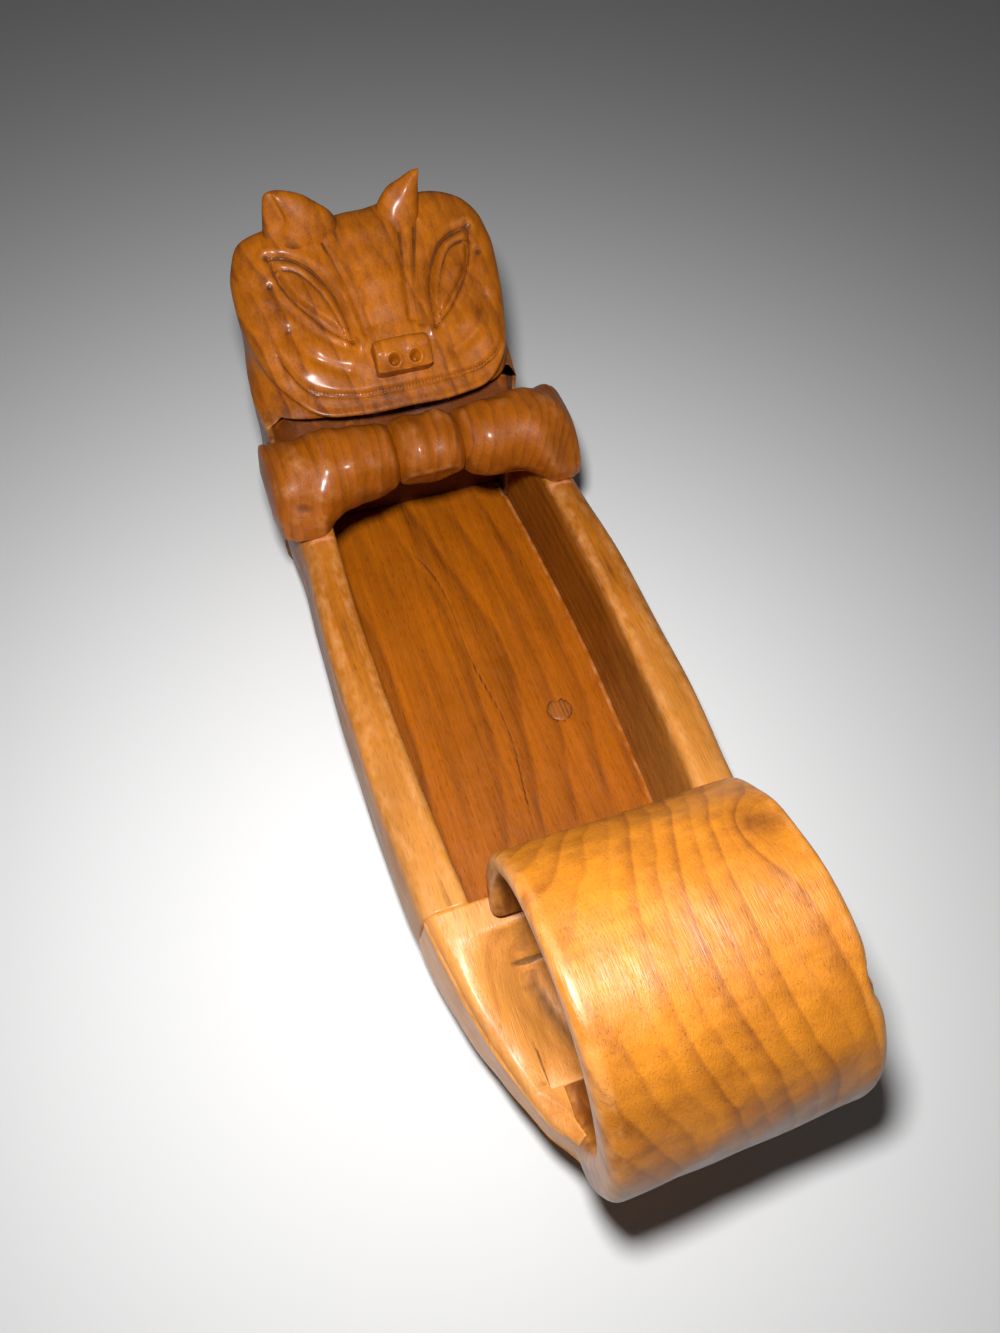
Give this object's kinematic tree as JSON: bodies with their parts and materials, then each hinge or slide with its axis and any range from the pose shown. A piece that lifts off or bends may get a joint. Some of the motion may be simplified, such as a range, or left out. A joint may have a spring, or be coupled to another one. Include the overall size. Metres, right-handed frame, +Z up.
{
  "type": "carved wooden scoop dish",
  "caption": "Long hand-carved wooden scoop dish with an animal's head and folded arms over one end of the hollow and a rolled scroll finger loop at the other.",
  "frame": {"origin": "on the ground under the hollow, on the dish's own centre plane and halfway along its length; the left elbow stands out further, so the middle of the bounding box is 1.4 mm to the left", "axes": "+Y from the scroll to the animal's head along the dish, +X to the right as seen from the scroll, looking towards the head, +Z up"},
  "size_m": [0.1197, 0.3339, 0.124],
  "materials": {
    "hull_wood": "varnished, worn on the edges",
    "floor_wood": "varnished, streaked",
    "plug_wood": "varnished end grain",
    "scroll_wood": "varnished, figured",
    "body_wood": "varnished, dark in the cuts",
    "arm_wood": "varnished",
    "dowel_wood": "bare"
  },
  "bodies": {
    "root": {"bottom_board": "floor_wood", "floor_plug": "plug_wood", "side_left": "hull_wood", "side_right": "hull_wood", "prow": "hull_wood", "scroll": "scroll_wood", "torso": "body_wood", "head": "body_wood", "snout": "body_wood", "ear_left": "body_wood", "ear_right": "body_wood", "arm_left": "arm_wood", "arm_right": "arm_wood", "paws": "arm_wood", "prow_dowels": "dowel_wood", "body_dowels": "dowel_wood", "scroll_dowels": "dowel_wood", "neck_dowels": "dowel_wood", "elbow_dowels": "dowel_wood", "paw_dowels": "dowel_wood", "ear_pegs": "dowel_wood", "snout_peg": "dowel_wood"}
  },
  "joints": []
}
